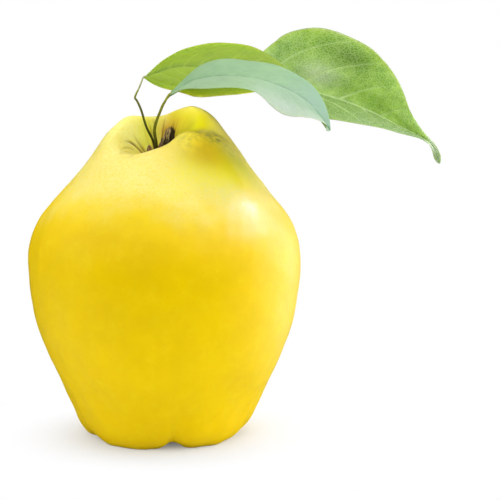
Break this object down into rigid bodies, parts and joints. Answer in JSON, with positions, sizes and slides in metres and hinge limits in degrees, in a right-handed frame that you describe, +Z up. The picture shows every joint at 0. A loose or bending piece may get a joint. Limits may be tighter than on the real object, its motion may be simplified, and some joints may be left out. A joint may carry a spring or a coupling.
{
  "type": "quince with leaves",
  "caption": "Whole ripe quince standing on its calyx end, with a dry stem stub in the crown and leaves on thin stalks.",
  "frame": {"origin": "middle of the whole object's footprint, on the surface that the fruit stands on", "axes": "+Z up from the calyx end to the crown, +X towards the side that the leaves hang over, -Y towards the front of the fruit"},
  "size_m": [0.1356, 0.0884, 0.1298],
  "materials": {
    "fruit_skin": "satin",
    "dry_wood": "matte",
    "dry_scale": "matte",
    "leaf_upper_side": "satin",
    "leaf_downy_side": "matte",
    "leaf_net_veined": "satin",
    "dry_calyx": "matte"
  },
  "bodies": {
    "root": {"fruit": "fruit_skin", "stem_stub": "dry_wood", "bud_scale_1": "dry_scale", "bud_scale_2": "dry_scale", "bud_scale_3": "dry_scale", "bud_scale_4": "dry_scale", "leaf_left": "leaf_upper_side", "leaf_middle": "leaf_downy_side", "leaf_right": "leaf_net_veined", "sepal_1": "dry_calyx", "sepal_2": "dry_calyx", "sepal_3": "dry_calyx", "sepal_4": "dry_calyx", "sepal_5": "dry_calyx", "dried_stamens": "dry_calyx"}
  },
  "joints": []
}
